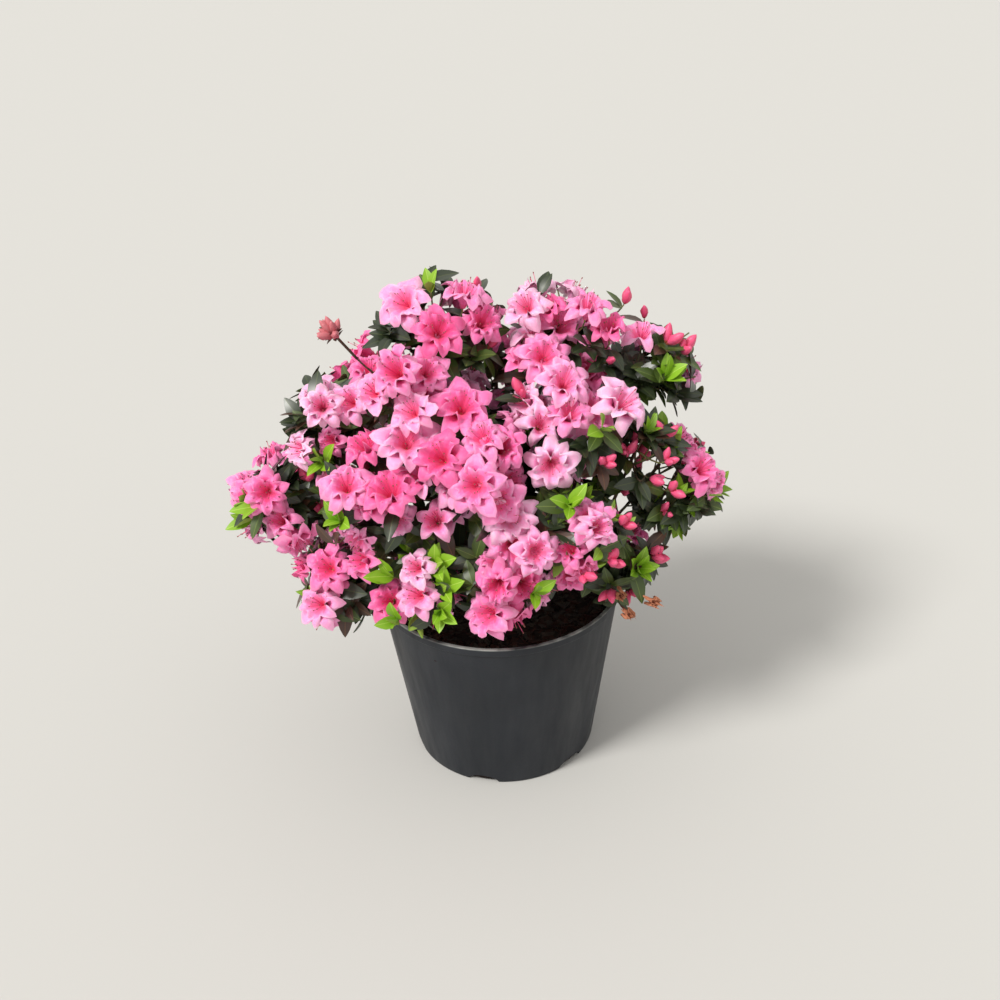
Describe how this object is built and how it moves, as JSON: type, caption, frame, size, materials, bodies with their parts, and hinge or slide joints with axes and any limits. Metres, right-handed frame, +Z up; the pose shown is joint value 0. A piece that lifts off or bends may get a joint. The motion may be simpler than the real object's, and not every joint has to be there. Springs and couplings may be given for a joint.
{
  "type": "potted azalea shrub",
  "caption": "Evergreen azalea shrub in full flower, standing in a plain round black nursery pot filled with bark mix.",
  "frame": {"origin": "middle of the pot's flat underside", "axes": "+Z up along the pot's axis, -Y towards the plant's front, +X to the right seen from the front"},
  "size_m": [0.5547, 0.3992, 0.5767],
  "materials": {
    "pot_plastic": "matt moulded",
    "bark_mix": "rough, moist bark chips",
    "bark": "rough bark",
    "blossom": "soft petals",
    "foliage": "softly glossy leaves"
  },
  "bodies": {
    "root": {"pot": "pot_plastic", "potting_mix": "bark_mix", "main_stem": "bark", "bough_left": "bark", "bough_front_left": "bark", "bough_front": "bark", "bough_front_right": "bark", "bough_right": "bark", "bough_back": "bark", "bough_back_left": "bark", "bough_top_left": "bark", "bough_top_right": "bark", "limb_left_shoulder": "bark", "limb_lower_left": "bark", "limb_low_left": "bark", "limb_low_centre": "bark", "limb_lower_right": "bark", "limb_right_middle": "bark", "limb_back_right": "bark", "limb_upper_left": "bark", "limb_upper_right": "bark", "limb_right_shoulder": "bark", "limb_back_upper_right": "bark", "limb_back_low_right": "bark", "limb_back_low_left": "bark", "limb_far_left_back": "bark", "limb_bare_sprig": "bark", "spray_left": "blossom", "spray_front_left": "blossom", "spray_front": "blossom", "spray_front_right": "blossom", "spray_right": "foliage", "spray_back": "blossom", "spray_back_left": "blossom", "spray_top_left": "blossom", "spray_top_right": "blossom", "spray_left_shoulder": "blossom", "spray_lower_left": "blossom", "spray_low_left": "foliage", "spray_low_centre": "blossom", "spray_lower_right": "foliage", "spray_right_middle": "foliage", "spray_back_right": "blossom", "spray_upper_left": "blossom", "spray_upper_right": "blossom", "spray_right_shoulder": "foliage", "spray_back_upper_right": "blossom", "spray_back_low_right": "blossom", "spray_back_low_left": "blossom", "spray_far_left_back": "blossom", "spray_bare_sprig": "foliage"}
  },
  "joints": []
}
